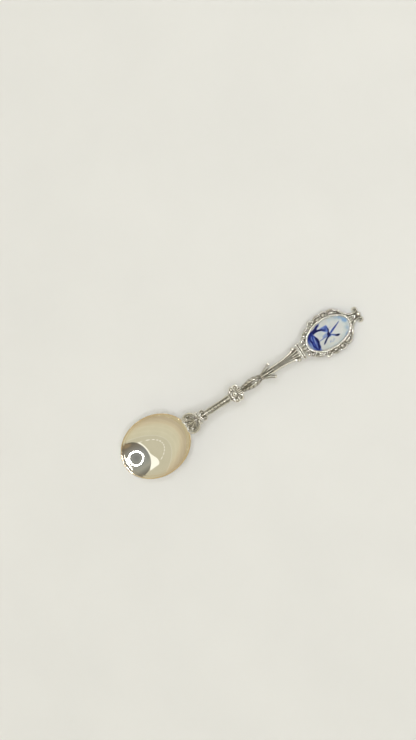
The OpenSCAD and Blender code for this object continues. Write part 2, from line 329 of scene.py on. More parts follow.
def make_piece(name, verts, faces, place, material, attributes, replaces):
    """Turns points in millimetres into a piece of the spoon that rides on its body."""
    mesh = bpy.data.meshes.new(name)
    mesh.from_pydata((place(np.asarray(verts)) * MM).tolist(), [], [list(map(int, f)) for f in faces])
    mesh.polygons.foreach_set("use_smooth", [True] * len(mesh.polygons))
    for key, values in attributes.items():
        attribute = mesh.attributes.new(key, "FLOAT", "POINT")
        attribute.data.foreach_set("value", np.asarray(values, np.float32))
    mesh.materials.append(material)
    mesh.update()
    obj = bpy.data.objects.new(name, mesh)
    bpy.context.scene.collection.objects.link(obj)
    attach(obj, BODY)
    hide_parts(replaces)


def make_casting(node, shape, voxel, place, material, ridge, groove):
    """One cast silver piece: fused, softened, and darkened from its ridges down to its grooves, by tarnish
    and by painted shade.
    """
    v, f = recast(shape, voxel)
    v = relax(v, edges_of(f), SOFTEN)
    make_piece(node + "_cast", v, f, place, material,
               {"hollow": ridge + (groove - ridge) * hollow(v, f)}, node)


# ---- Materials

class Nodes:
    """A node tree, with short names for the nodes that are used here."""

    def __init__(self, tree):
        self.tree = tree

    def feed(self, socket, value):
        """Links a node's output to a socket, or sets the socket to a plain value."""
        if isinstance(value, bpy.types.NodeSocket):
            self.tree.links.new(value, socket)
        else:
            socket.default_value = value

    def add(self, kind, inputs=None, **settings):
        node = self.tree.nodes.new(kind)
        for key, value in settings.items():
            setattr(node, key, value)
        for key, value in (inputs or {}).items():
            self.feed(node.inputs[key], value)
        return node

    def maths(self, operation, *values):
        return self.add("ShaderNodeMath", dict(enumerate(values)), operation=operation).outputs[0]

    def stored(self, name):
        """A value that the mesh keeps for each of its points."""
        return self.add("ShaderNodeAttribute", attribute_name=name).outputs["Fac"]

    def ramp(self, factor, stops):
        """A colour, or a grey value, blended between stops by factor."""
        node = self.add("ShaderNodeValToRGB", {"Fac": factor})
        elements = node.color_ramp.elements
        while len(elements) < len(stops):
            elements.new(0.5)
        for element, (position, colour) in zip(elements, stops):
            element.position = position
            element.color = (*colour, 1) if len(colour) == 3 else (colour[0],) * 3 + (1,)
        return node.outputs["Color"]

    def mix(self, factor, under, over, blend="MIX"):
        colours = [(*c, 1) if isinstance(c, tuple) else c for c in (under, over)]
        inputs = {0: factor, 6: colours[0], 7: colours[1]}
        return self.add("ShaderNodeMix", inputs, data_type="RGBA", blend_type=blend).outputs[2]

    def noise(self, scale, detail, roughness=0.5, stretch=(1, 1, 1)):
        """Noise in the object's own space; scale counts features per metre."""
        place = self.add("ShaderNodeTexCoord").outputs["Object"]
        place = self.add("ShaderNodeMapping", {"Vector": place, "Scale": stretch}).outputs["Vector"]
        inputs = {"Vector": place, "Scale": scale, "Detail": detail, "Roughness": roughness}
        return self.add("ShaderNodeTexNoise", inputs).outputs["Fac"]


class Surface(Nodes):
    """A material, whose shader's inputs are set by name."""

    def __init__(self, name):
        self.material = bpy.data.materials.new(name)
        self.material.use_nodes = True
        super().__init__(self.material.node_tree)
        self.shader = self.tree.nodes["Principled BSDF"]

    def set(self, name, value):
        self.feed(self.shader.inputs[name], value)

    def bump(self, height, strength, distance):
        """Fine relief in the shading that follows height; distance is in metres."""
        inputs = {"Height": height, "Strength": strength, "Distance": distance}
        self.set("Normal", self.add("ShaderNodeBump", inputs).outputs["Normal"])


def antique_silver():
    """Cast silver plate: lighter on the ridges, partly polish and partly painted highlight, grey on the
    flats, and dark in the recesses, partly tarnish and partly painted shade.
    """
    silver = Surface("antique_silver")
    worn = silver.maths("MULTIPLY", silver.noise(620, 4), 0.36)
    level = silver.maths("SUBTRACT", silver.maths("ADD", silver.stored("hollow"), worn), 0.18)
    # Colour by how sunken each point is: tarnish with painted shade in the recesses, painted highlight on
    # the ridges.
    colour = silver.ramp(level, [(0.12, (0.99, 0.98, 0.96)), (0.28, (0.80, 0.785, 0.76)),
                                 (0.46, (0.45, 0.435, 0.405)), (0.62, (0.26, 0.245, 0.215)),
                                 (0.82, (0.12, 0.11, 0.09)), (1.0, (0.06, 0.055, 0.04))])
    grain = silver.noise(5200, 2)
    specks = silver.ramp(grain, [(0.3, (0.2,)), (0.7, (1,))])
    silver.set("Base Color", silver.mix(0.16, colour, specks, "MULTIPLY"))
    silver.set("Roughness", silver.ramp(level, [(0.15, (0.25,)), (0.5, (0.31,)), (0.85, (0.45,))]))
    silver.set("Metallic", 1.0)
    scratches = silver.noise(2600, 2, 0.6, (1, 9, 3))
    silver.bump(silver.maths("ADD", grain, scratches), 0.2, 0.00004)
    return silver.material


def polished_silver():
    """Polished silver plate with hairline scratches and a warmer, worn lip."""
    silver = Surface("polished_silver")
    lip = silver.stored("lip")
    base = silver.ramp(silver.noise(160, 4), [(0.3, (0.90, 0.87, 0.79)), (0.7, (0.94, 0.91, 0.84))])
    silver.set("Base Color", silver.mix(lip, base, (0.80, 0.66, 0.45)))
    hairs = silver.maths("MAXIMUM", silver.noise(900, 2, 0.7, (1, 26, 6)),
                         silver.noise(1100, 2, 0.7, (22, 1.5, 6)))
    rough = silver.ramp(hairs, [(0.45, (0.02,)), (0.75, (0.045,))])
    silver.set("Roughness", silver.mix(lip, rough, (0.22, 0.22, 0.22)))
    silver.set("Metallic", 1.0)
    silver.bump(hairs, 0.05, 0.00001)
    return silver.material


def brushed_silver():
    """The flat back of the setting: filed, then left satin."""
    silver = Surface("brushed_silver")
    lines = silver.noise(500, 3, 0.6, (1, 30, 1))
    silver.set("Base Color", silver.ramp(silver.noise(260, 4), [(0.3, (0.50, 0.46, 0.40)),
                                                                (0.7, (0.78, 0.74, 0.67))]))
    silver.set("Roughness", silver.ramp(lines, [(0.3, (0.28,)), (0.7, (0.45,))]))
    silver.set("Metallic", 1.0)
    silver.bump(lines, 0.2, 0.00003)
    return silver.material


def paint_layer(glaze, name, mottle, stops):
    """The tint of one layer of paint, whose strength is stored per point and wavers with mottle."""
    amount = glaze.stored(name)
    uneven = glaze.maths("MULTIPLY_ADD", mottle, glaze.maths("MULTIPLY", amount, 0.5), amount)
    return glaze.ramp(uneven, stops)


def painted_porcelain():
    """White glaze over two layers of painting: pale sky washes, and cobalt strokes above them."""
    glaze = Surface("painted_porcelain")
    mottle = glaze.maths("SUBTRACT", glaze.noise(2400, 3), 0.5)
    sky = paint_layer(glaze, "sky", mottle, [(0.02, (1, 1, 1)), (0.25, (0.84, 0.93, 1.0)),
                                             (0.6, (0.36, 0.60, 1.0))])
    ink = paint_layer(glaze, "ink", mottle, [
        (0.02, (1, 1, 1)), (0.2, (0.54, 0.64, 0.93)), (0.4, (0.16, 0.27, 0.80)),
        (0.58, (0.018, 0.04, 0.44)), (0.78, (0.005, 0.009, 0.17)), (1.0, (0.003, 0.004, 0.06))])
    white = glaze.ramp(glaze.noise(420, 3), [(0.3, (0.58, 0.605, 0.615)), (0.7, (0.635, 0.66, 0.68))])
    washed = glaze.mix(1.0, white, sky, "MULTIPLY")
    glaze.set("Base Color", glaze.mix(1.0, washed, ink, "MULTIPLY"))
    for name, value in (("Roughness", 0.38), ("Specular IOR Level", 0.22), ("Coat Weight", 0.14),
                        ("Coat Roughness", 0.16), ("Subsurface Weight", 0.05),
                        ("Subsurface Scale", 0.0003)):
        glaze.set(name, value)
    glaze.bump(glaze.noise(330, 1), 0.15, 0.00006)
    return glaze.material


def set_cement():
    cement = Surface("set_cement")
    grit = cement.noise(1500, 5)
    cement.set("Base Color", cement.ramp(grit, [(0.3, (0.42, 0.40, 0.35)), (0.7, (0.62, 0.60, 0.54))]))
    cement.set("Roughness", 0.9)
    return cement.material


def pale_floor():
    floor = Surface("studio_floor")
    floor.set("Base Color", floor.ramp(floor.noise(18, 3), [(0.3, (0.80, 0.81, 0.84)),
                                                            (0.7, (0.83, 0.84, 0.87))]))
    floor.set("Roughness", 0.75)
    return floor.material


# ---- Bowl

def bowl_ring(u, half_l, half_w, depth, n, lift=0.0):
    """One level of a bowl surface: u is 0 at the deepest point and 1 at the rim."""
    a = turn(n)
    return np.column_stack([DEEP_SHIFT * (1 - u * u) + half_l * u * np.cos(a), half_w * u * np.sin(a),
                            np.full(n, BOWL_DEPTH - depth * (1 - u * u) + lift)])


def make_bowl(material):
    """A pressed shell: the inner surface, a rounded lip, and the outer surface under it."""
    n = 220
    half_l, half_w = LENGTHS["bowl"] / 2, BOWL_W / 2
    levels = np.linspace(0, 1, 90)[1:] ** 0.6
    # A faint, worn groove runs round the inside, just below the lip: its place, width and depth
    rolled_u, rolled_w, rolled_h = 0.945, 0.010, 0.014
    inner_gap = LIP_R * 1.44
    inner_end = math.sqrt(1 - 0.3 * LIP_R / (BOWL_DEPTH - BOWL_WALL))
    rings, lip = [], []
    for u in np.concatenate([[0.004], levels * inner_end]):
        rolled = math.exp(-((u - rolled_u) / rolled_w) ** 2)
        rings.append(bowl_ring(u, half_l - inner_gap, half_w - inner_gap, BOWL_DEPTH - BOWL_WALL, n,
                               -rolled_h * rolled))
        worn = 0.22 * unit((u - 0.84) / 0.1) + 0.5 * unit((u - 0.97) / 0.02)
        lip.append(worn + 0.3 * rolled)
    for a in np.radians(np.linspace(-38, 128, 12)):
        gap = LIP_R * (1 - math.sin(a))
        ring = bowl_ring(1, half_l - gap, half_w - gap, 0, n)
        ring[:, 2] += LIP_R * (math.cos(a) - 1)
        rings.append(ring)
        lip.append(1)
    outer_end = math.sqrt(1 - 1.8 * LIP_R / BOWL_DEPTH)
    for u in np.concatenate([[0.004], levels * outer_end])[::-1]:
        rings.append(bowl_ring(u, half_l + 1.6 * LIP_R, half_w + 1.2 * LIP_R, BOWL_DEPTH, n))
        lip.append(0.6 * unit((u - 0.9) / 0.1) ** 2)
    verts = np.concatenate(rings)
    verts[:, 0] += START["bowl"] + half_l
    faces = [list(reversed(f)) for f in grid_faces(len(rings), n)]
    make_piece("bowl_shell", verts, faces, as_is, material,
               {"lip": np.repeat(lip, n)}, "bowl")


def make_bowl_tongue(material):
    """The strip that runs back from the bowl under the rosette."""
    s = Shape(HEEL_X)
    start, end = -1.1, 6.8
    s.loft(np.linspace(start, end, 30),
           lambda x: superellipse(2.9 - 1.75 * (x - start) / (end - start), 0.5, 4) + [0, -1.0])
    v, f = recast(s, FINE * 1.4)
    make_piece("bowl_tongue", v, f, on_stem, material,
               {"lip": np.full(len(v), 0.3)}, "bowl")


# ---- Handle castings, each drawn from its own start on the bowl side

def heel_rosette():
    """A palmette and two curls inside a corded border that opens towards the bowl."""
    s = Shape(HEEL_X)
    cx, rx, ry = 3.5, 3.75, 4.1
    a = turn(48)
    dish = [np.column_stack([cx + rx * k * np.cos(a), ry * k * np.sin(a), np.full(48, z)])
            for k, z in ((0.9, -0.6), (1, -0.45), (1, 0.1), (0.9, 0.15), (0.8, -0.08), (0.1, -0.1))]
    s.add(np.concatenate(dish), grid_faces(len(dish), 48))
    border = [[0.35, 0.75, 0.25, 0.3], [-0.1, 1.95, 0.3, 0.34], [0.5, 3.25, 0.35, 0.4],
              [2.0, 4.03, 0.4, 0.42], [3.7, 4.1, 0.4, 0.42], [5.35, 3.45, 0.4, 0.4],
              [6.4, 2.25, 0.45, 0.38], [7.1, 0.95, 0.5, 0.36]]
    s.wire(border, 0.9)
    s.wire([[cx + 0.8 * (x - cx), 0.82 * y, z - 0.05, 0.15] for x, y, z, r in border[1:-1]])
    hub = 5.7
    for angle, length, width in ((0, 4.6, 0.78), (30, 4.1, 0.66), (58, 3.2, 0.55)):
        c, d = cos_sin(angle)
        lobe = [[hub - c * length * t, d * length * t, h, width * w]
                for t, w, h in ((0.08, 0.4, 0.3), (0.4, 0.8, 0.22), (0.72, 1, 0.1), (0.93, 0.7, 0.05))]
        s.wire(lobe, 0.8)
        rib = [[hub - c * length * t, d * length * t, 0.72 - 0.1 * t, 0.15] for t in (0.15, 0.5, 0.85)]
        s.wire(rib)
    s.ball(hub, 0, 0.45, 0.7)
    s.ball(hub - 0.2, 0, 0.95, 0.34)
    s.tube(curl(1.6, 2.3, 0.72, 0.22, -70, 330, 0.3, 0.24, 0.25))
    s.ball(1.6, 2.3, 0.25, 0.34)
    s.ball(6.35, 1.2, 0.25, 0.34)
    s.ball(0.95, 0.85, 0.2, 0.38)
    s.ball(3.1, 3.15, 0.15, 0.32)
    s.ball(4.6, 3.0, 0.15, 0.3)
    return s


def collar_scrolls():
    """The rosette's border wires cross here and open into two loops."""
    s = Shape(START["collar_scrolls"])
    s.loft(np.linspace(0, LENGTHS["collar_scrolls"], 14), lambda x: superellipse(1.2 + 0.06 * x, 0.78, 3))
    s.loft(np.linspace(0.5, 3.5, 12),
           lambda x: superellipse(1.0 + math.sin(1.05 * (x - 0.5)), 0.28, 4))
    for side, lift in ((1, 0.16), (-1, 0.0)):
        s.wire([[-0.2, 0.8 * side, 0.45, 0.4], [0.4, 0.0, 0.78 + lift, 0.38],
                [1.0, -0.95 * side, 0.7 + lift, 0.38], [1.7, -1.75 * side, 0.4, 0.4],
                [2.5, -2.1 * side, 0.25, 0.4], [3.2, -1.9 * side, 0.2, 0.36],
                [3.55, -1.45 * side, 0.2, 0.34]])
    s.wire([[2.4, 1.4, 0.5, 0.22], [1.7, 0.85, 0.85, 0.27], [1.45, 0, 0.95, 0.3],
            [1.7, -0.85, 0.85, 0.27], [2.4, -1.4, 0.5, 0.22]])
    s.ball(2.75, 1.2, 0.4, 0.48)
    s.wire([[0.1, 2.25, 0.1, 0.34], [0.35, 1.5, 0.25, 0.3], [0.7, 0.9, 0.3, 0.26]])
    s.ball(0.1, 2.3, 0.15, 0.56)
    s.wire([[1.9, 0, 0.85, 0.26], [2.7, 0, 0.85, 0.38], [3.6, 0, 0.7, 0.3]])
    return s


def bar_half_width(x):
    return 1.3 + 0.15 * x / LENGTHS["beaded_bar"]


def beaded_bar():
    s = Shape(START["beaded_bar"])
    length = LENGTHS["beaded_bar"]

    def section(x):
        half = bar_half_width(x)
        y, z = superellipse(half, 0.84, 3.4, 56).T
        sunk = np.where((z > 0) & (np.abs(y) < half - 0.5), 0.5, 0)
        return np.column_stack([y, z - sunk])

    s.loft(np.linspace(0, length, 60), section)
    rail = [[x, bar_half_width(x) - 0.37, 0.42, 0.37] for x in np.linspace(0.3, length - 0.3, 24)]
    s.tube(rail)
    return s


def bead_wire():
    s = Shape(START["beaded_bar"])
    length, pearls = LENGTHS["beaded_bar"], 8
    pitch = length / pearls
    for i in range(pearls):
        s.wire([[pitch * (i + 0.5) - 0.2, 0, 0.6, 0.6], [pitch * (i + 0.5) + 0.2, 0, 0.6, 0.6]])
    s.tube([[x, 0, 0.5, 0.42] for x in np.linspace(0.45, length - 0.45, 30)])
    return s


def scroll_knot():
    """Two ringed discs beside a boss, tied to the bar by looping wires, on a common plate."""
    s = Shape(START["scroll_knot"])
    length = LENGTHS["scroll_knot"]
    s.loft(np.linspace(0, length, 18), lambda x: superellipse(1.4 - 0.3 * x / length, 0.82, 3))
    s.loft(np.linspace(0.2, length - 0.1, 26),
           lambda x: [0, -0.22] + superellipse(
               1.25 + 1.95 * max(math.sin(math.pi * (x + 0.1) / length), 0) ** 0.7, 0.3, 5))
    s.ball(2.95, 0, 0.4, 1.38, 0.85)
    s.wire([[2.3, 1.45, 0.4, 0.22], [1.6, 0.95, 0.75, 0.3], [1.3, 0, 0.9, 0.36],
            [1.6, -0.95, 0.75, 0.3], [2.3, -1.45, 0.4, 0.22]])
    s.wire([[0, 1.15, 0.25, 0.4], [0.8, 1.3, 0.2, 0.42], [1.3, 1.85, 0.15, 0.44],
            [1.5, 2.6, 0.1, 0.44], [2.1, 3.1, 0.1, 0.4], [2.9, 3.25, 0.1, 0.36]])
    s.ball(2.35, 2.45, 0.15, 0.7)
    disc_x, disc_y, disc_r = 4.25, 2.15, 0.98
    s.tube(curl(disc_x, disc_y, disc_r, disc_r, 0, 360, 0.44, 0.44, 0.36, 30))
    s.ball(disc_x, disc_y, 0, 0.95, 0.5)
    s.ball(disc_x, disc_y, 0.45, 0.44)
    s.wire([[5.2, 1.3, 0.3, 0.34], [5.75, 1.25, 0.3, 0.34], [6.15, 1.1, 0.3, 0.32]])
    s.wire([[3.9, 0.35, 0.75, 0.36], [4.9, 0.6, 0.7, 0.34], [6.1, 0.75, 0.55, 0.28]])
    s.wire([[3.9, 0, 0.85, 0.34], [6.1, 0, 0.85, 0.28]])
    return s


def make_baluster(material):
    """A spindle wrapped, front and back, in a leaf with rounded lobes that sweep forward."""
    rows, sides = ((300, 150))
    length, neck, bulge, lobes = LENGTHS["baluster"], 1.14, 0.84, 5
    t = np.linspace(0, 1, rows)[:, None]
    a = turn(sides)[None]
    profile = neck + bulge * np.sin(np.pi * t**1.1) ** 1.4
    across = np.abs(np.abs(a - np.pi) - np.pi / 2)
    across = 1 - across / (np.pi / 2)
    fade = unit((t - 0.03) / 0.08) * unit((0.97 - t) / 0.08)
    phase = np.mod(t * lobes - 1.3 * across, 1)
    lobe = np.sin(np.pi * phase) ** 0.6
    edge = 0.66 + 0.16 * lobe
    on_leaf = unit((edge - across) / 0.06)
    rib = np.exp(-(across / 0.075) ** 2)
    beside = np.exp(-((across - 0.17) / 0.06) ** 2)
    vein = np.exp(-((phase - 0.5) / 0.09) ** 2) * unit(1 - across / 0.6)
    relief = on_leaf * (0.02 + 0.17 * lobe + 0.08 * vein) + 0.14 * rib - 0.09 * beside
    r = profile + fade * (relief - 0.08)
    verts = np.stack([np.broadcast_to(t * length, r.shape), r * np.cos(a), r * 0.92 * np.sin(a)], -1)
    verts = verts.reshape(-1, 3) + [START["baluster"], 0, 0]
    faces = grid_faces(rows, sides)
    # The two end caps aren't quads
    quads = np.array(faces[:-2])
    v = relax(verts, edges_of(quads), 1)
    # Its hollows are darkened by the silver's tarnish and painted shade, its ridges lightened by painted
    # highlight.
    make_piece("baluster_cast", v, faces, on_stem, material,
               {"hollow": 0.13 + 0.87 * hollow(v, quads)}, "baluster")


def leaf_sprouts():
    """Two smooth leaves that curl out of the stem and end in beads; the rails run on between them."""
    s = Shape(START["leaf_sprouts"])
    length = LENGTHS["leaf_sprouts"]
    s.loft(np.linspace(0, length + 0.1, 24), lambda x: superellipse(1.08 + 0.24 * x / length, 0.93, 3))
    s.wire([[0.0, 0.6, 0.3, 0.52], [1.4, 1.05, 0.42, 0.64], [2.7, 1.45, 0.45, 0.72],
            [3.8, 2.0, 0.4, 0.7], [4.6, 2.55, 0.35, 0.64], [5.0, 2.9, 0.3, 0.58]])
    s.ball(5.1, 2.9, 0.35, 0.66)
    rail = [[x, 0.66 + 0.32 * x / length, 0.7, 0.34] for x in np.linspace(0.25, length + 0.1, 24)]
    s.tube(rail)
    s.tube([[x, -y, -z, r] for x, y, z, r in rail])
    s.wire([[0.2, 0, 0.95, 0.3], [2.4, 0, 0.95, 0.36], [length - 0.3, 0, 0.8, 0.26]])
    return s


def shaft_half_width(x):
    return 1.32 + 0.85 * unit(x / LENGTHS["fluted_shaft"]) ** 3.2


def fluted_shaft():
    """Two rails with a ribbed band between them, front and back, flaring to the capital."""
    s = Shape(START["fluted_shaft"])
    length = LENGTHS["fluted_shaft"]

    def section(x):
        half = shaft_half_width(x)
        y, z = superellipse(half, 0.98, 4, 160).T
        lane = np.abs(y) / (half - 0.36)
        groove = 0.42 * np.exp(-((lane - 0.78) / 0.14) ** 2) + 0.09 * np.exp(-((lane - 0.28) / 0.09) ** 2)
        middle = unit((np.abs(z) - 0.6) / 0.2)
        return np.column_stack([y, z - np.sign(z) * groove * middle])

    s.loft(np.linspace(-0.1, length, 70), section)
    rail = [[x, shaft_half_width(x) - 0.36, 0.68, 0.42] for x in np.linspace(-0.1, length + 0.05, 40)]
    s.tube(rail)
    s.tube([[x, -y, -z, r] for x, y, z, r in rail])
    return s


def capital():
    """The shaft's ribs fan out between two knobbed volutes that take up its rails."""
    s = Shape(START["capital"])
    length = LENGTHS["capital"]
    s.loft(np.linspace(-0.1, length, 10), lambda x: superellipse(2.1 + 0.35 * x / length, 0.95, 4))
    s.wire([[-0.2, 0.0, 0.8, 0.3], [1.2, 0.0, 0.85, 0.34], [2.4, 0.0, 0.85, 0.42]])
    s.wire([[-0.2, 0.8, 0.8, 0.24], [1.2, 1.0, 0.85, 0.28], [2.4, 1.25, 0.85, 0.34]])
    s.wire([[-0.2, 1.8, 0.65, 0.4], [0.5, 2.0, 0.6, 0.42], [1.1, 2.45, 0.4, 0.5]])
    s.tube(curl(1.4, 2.55, 0.6, 0.4, 200, -150, 0.42, 0.34, 0.2))
    s.ball(1.4, 2.5, 0.35, 0.84)
    s.wire([[2.45, 2.3, 0.5, 0.32], [2.5, 0, 0.75, 0.32], [2.45, -2.3, 0.5, 0.32]])
    return s


def crossbar():
    """Two rounded fillets on a block."""
    s = Shape(START["crossbar"])
    half = 3.55
    s.add(*box_shape((0.05, -3.1, -0.85), (LENGTHS["crossbar"] - 0.05, 3.1, 0.5)))
    for x in (0.44, 1.27):
        s.tube([[x, y, 0.62, 0.42 - 0.05 * abs(y) / half]
                for y in np.linspace(0.35 - half, half - 0.35, 20)])
        s.ball(x, half - 0.42, 0.62, 0.44)
    return s


def box_shape(low, high):
    (x0, y0, z0), (x1, y1, z1) = low, high
    verts = [[x0, y0, z0], [x0, y1, z0], [x0, y1, z1], [x0, y0, z1],
             [x1, y0, z0], [x1, y1, z0], [x1, y1, z1], [x1, y0, z1]]
    return verts, grid_faces(2, 4)


# ---- Finial

OVAL_POINTS = 96


def oval(length, width, k, z, n=OVAL_POINTS):
    """An outline round the plaque's centre at height z, k times the length and width."""
    a = turn(n)
    return np.column_stack([PLAQUE_X + length / 2 * k * np.cos(a), width / 2 * k * np.sin(a),
                            np.full(n, z)])


def oval_ring(profile, n=180):
    """A ring round the plaque; its section's rows are the distance out from the setting, and height."""
    a = turn(n)[:, None]
    edge = np.column_stack([COLLET_L / 2 * np.cos(a), COLLET_W / 2 * np.sin(a)])[:, None]
    out = np.column_stack([np.cos(a) / COLLET_L, np.sin(a) / COLLET_W])[:, None]
    out /= np.linalg.norm(out, axis=2)[:, :, None]
    profile = np.asarray(profile)[None]
    flat = edge + out * profile[:, :, :1]
    height = np.broadcast_to(profile[:, :, 1:], flat[:, :, :1].shape)
    verts = np.concatenate([flat + [PLAQUE_X, 0], height], 2)
    return verts.reshape(-1, 3), loop_faces(n, profile.shape[1])


def web_ring(length, width, low, high, rise):
    """A plate with an oval outline and the setting's oval hole, rising towards the hole."""
    rings = [oval(COLLET_L, COLLET_W, 1, low), oval(length, width, 1, low),
             oval(length, width, 1, high), oval(COLLET_L, COLLET_W, 1, high + rise)]
    return np.stack(rings, 1).reshape(-1, 3), loop_faces(OVAL_POINTS, len(rings))


def loop_faces(n, sides):
    return [[i * sides + j, i * sides + (j + 1) % sides,
             (i + 1) % n * sides + (j + 1) % sides, (i + 1) % n * sides + j]
            for i in range(n) for j in range(sides)]


def scroll(s, points):
    """A scroll: a round wire with a fine crest along its top."""
    crest = 0.15
    s.wire(points)
    s.wire([[x, y, z + 0.92 * r, crest] for x, y, z, r in points[1:-1]])


def finial_frame():
    """Scrollwork round the setting, on a web that rises to the setting's wall."""
    s = Shape()
    y = FRAME_HALF_W
    s.add(*web_ring(20.7, 15.2, -0.5, -0.1, 0.5))
    s.add(*oval_ring([(0.14 + 0.26 * math.cos(a), 0.55 + 0.26 * math.sin(a))
                      for a in turn(12)]))
    # foot: two curls on each side of a leaf
    s.wire([[0.1, 0, 0.1, 0.5], [1.1, 0, 0.3, 0.7], [2.2, 0, 0.35, 0.5]], 0.9)
    s.wire([[0.2, 1.2, 0.0, 0.46], [1.2, 1.3, 0.1, 0.56], [2.2, 1.9, 0.15, 0.44]])
    s.tube(curl(1.3, 2.9, 0.82, 0.34, -80, 250, 0.46, 0.36, 0.08))
    s.ball(1.3, 2.9, 0.25, 0.46)
    s.tube(curl(3.0, 4.45, 0.8, 0.32, -130, 190, 0.46, 0.36, 0.08))
    s.ball(3.0, 4.45, 0.25, 0.46)
    scroll(s, [[2.1, 3.7, 0.0, 0.36], [3.6, 5.1, 0.05, 0.5], [4.8, 5.75, 0.1, 0.6], [6.0, 6.15, 0.1, 0.52],
               [6.9, 6.3, 0.05, 0.38]])
    s.wire([[3.4, 4.3, 0.15, 0.3], [5.0, 5.25, 0.25, 0.4], [6.8, 5.95, 0.25, 0.3]])
    # shoulder: an open curl and its bead
    s.tube(curl(7.95, y - 1.7, 1.0, 0.5, 240, -75, 0.54, 0.44, 0.05))
    s.ball(7.95, y - 1.7, 0.15, 0.4)
    s.ball(9.2, y - 1.55, 0.15, 0.56)
    # first C-scroll, a leaf inside it and the bead after it
    scroll(s, [[8.9, y - 2.5, 0.05, 0.4], [9.6, y - 1.8, 0.05, 0.52], [10.3, y - 0.98, 0.1, 0.6],
               [11.2, y - 0.66, 0.1, 0.64], [12.0, y - 0.85, 0.1, 0.56], [12.5, y - 1.4, 0.1, 0.44]])
    s.wire([[9.8, 6.55, 0.2, 0.34], [10.9, 6.85, 0.35, 0.56], [12.0, 6.7, 0.2, 0.38]])
    s.ball(12.75, y - 0.72, 0.1, 0.52)
    # ring curl round a ball
    s.tube(curl(14.3, y - 1.5, 0.98, 0.92, 215, -70, 0.56, 0.5, 0.1))
    s.ball(13.95, y - 1.65, 0.3, 0.74)
    s.ball(15.6, y - 1.15, 0.1, 0.5)
    # second C-scroll down to the crown, with a second wire and two leaves inside
    scroll(s, [[15.5, y - 2.1, 0.0, 0.38], [16.1, y - 1.5, 0.05, 0.5], [17.1, y - 1.3, 0.1, 0.56],
               [18.2, y - 1.85, 0.1, 0.56], [19.0, y - 2.8, 0.1, 0.52], [19.5, y - 3.7, 0.1, 0.4]])
    s.wire([[15.6, 6.35, 0.2, 0.34], [16.8, 6.25, 0.3, 0.5],
            [18.0, 5.6, 0.25, 0.42], [18.9, 4.8, 0.2, 0.34]])
    s.ball(19.95, y - 3.55, 0.15, 0.62)
    s.wire([[19.5, y - 3.4, 0.1, 0.44], [20.1, y - 4.1, 0.1, 0.5], [20.6, y - 4.7, 0.05, 0.42]])
    # small leaves between the rim and the scrolls
    for angle in (50, 62, 74, 86, 98, 110, 122, 134):
        c, d = cos_sin(angle)
        x0, y0 = PLAQUE_X + (COLLET_L / 2 + 0.85) * c, (COLLET_W / 2 + 0.85) * d
        s.wire([[x0 - 0.62, y0 + 0.07 * c, 0.25, 0.2], [x0, y0 + 0.05, 0.35, 0.38],
                [x0 + 0.62, y0 - 0.25 * c, 0.25, 0.2]])
    return s


def crown():
    """Two horns that curl outwards, and a knob on a stalk between them."""
    s = Shape(FRAME_L)
    knob_x = (LENGTHS["crown"] - 0.85) * ALONG
    web = [[0, 3.3], [0.8, 2.2], [1.9, 1.4], [3.3, 1.15], [4.4, 0.7]]
    outline = np.array(web + [[a, -b] for a, b in reversed(web)])
    rings = [np.column_stack([outline, np.full(len(outline), z)]) for z in (-0.5, 0.05)]
    s.add(np.concatenate(rings), grid_faces(2, len(outline)))
    horn = [[-0.4, 4.1, 0.05, 0.46], [0.2, 3.35, 0.1, 0.48], [1.0, 2.4, 0.1, 0.48],
            [2.0, 1.7, 0.1, 0.46], [3.2, 1.35, 0.1, 0.46], [4.4, 1.4, 0.12, 0.5],
            [5.15, 1.9, 0.15, 0.54], [5.1, 2.6, 0.18, 0.54], [4.5, 2.92, 0.2, 0.5],
            [3.75, 2.78, 0.2, 0.4]]
    scroll(s, horn)
    s.ball(4.5, 2.3, 0.15, 0.42)
    s.ball(3.7, 2.65, 0.2, 0.46)
    s.wire([[0, 0, 0, 0.5], [2.6, 0, 0.05, 0.45], [knob_x - 0.4, 0, 0.05, 0.45]])
    s.ball(0.6, 0, 0.4, 0.44)
    s.ball(1.4, 0, 0.4, 0.46)
    s.tube(curl(2.6, 0, 0.5, 0.5, 0, 360, 0.27, 0.27, 0.35, 30))
    s.ball(2.6, 0, 0.4, 0.24)
    s.wire([[0.9, 0.95, 0.15, 0.3], [1.9, 0.8, 0.2, 0.34], [3.0, 0.75, 0.15, 0.26]])
    s.ball(knob_x - 0.15, 0, 0.2, 0.86)
    s.ball(knob_x + 0.08, 0.5, 0.2, 0.6)
    s.ball(knob_x + 0.3, 0, 0.25, 0.56)
    return s


def make_collet(material):
    """The setting's wall, its top rubbed over onto the porcelain."""
    low = PLATE_BOTTOM + PLATE_T
    top = low + COLLET_H
    inner = -COLLET_WALL
    profile = [(inner, low), (0, low), (0, top - 0.55), (-0.03, top - 0.4), (-0.1, top - 0.29),
               (-0.2, top - 0.25), (-0.32, top - 0.29), (-0.42, top - 0.39), (-0.5, top - 0.54),
               (-0.46, top - 0.68), (inner, top - 0.75)]
    verts, faces = oval_ring(profile, 260)
    # Lighter at the rubbed top and darker down to the wall's foot: tarnish with painted shade.
    shade = [0.9, 0.9, 0.6, 0.42, 0.3, 0.25, 0.3, 0.42, 0.7, 0.9, 0.9]
    make_piece("collet_wall", verts, faces, on_finial, material,
               {"hollow": np.tile(shade, 260)}, "collet")


def make_back_plate(material):
    """Flat plate with an eased edge."""
    levels = ((0.05, PLATE_BOTTOM + PLATE_T), (1, PLATE_BOTTOM + PLATE_T), (1, PLATE_BOTTOM + 0.15),
              (0.99, PLATE_BOTTOM + 0.03), (0.975, PLATE_BOTTOM), (0.05, PLATE_BOTTOM))
    rings = [oval(COLLET_L, COLLET_W, k, z) for k, z in levels]
    faces = [list(reversed(f)) for f in grid_faces(len(rings), OVAL_POINTS)]
    make_piece("back_plate_satin", np.concatenate(rings), faces, on_finial, material,
               {}, "back_plate")


# ---- Painted plaque

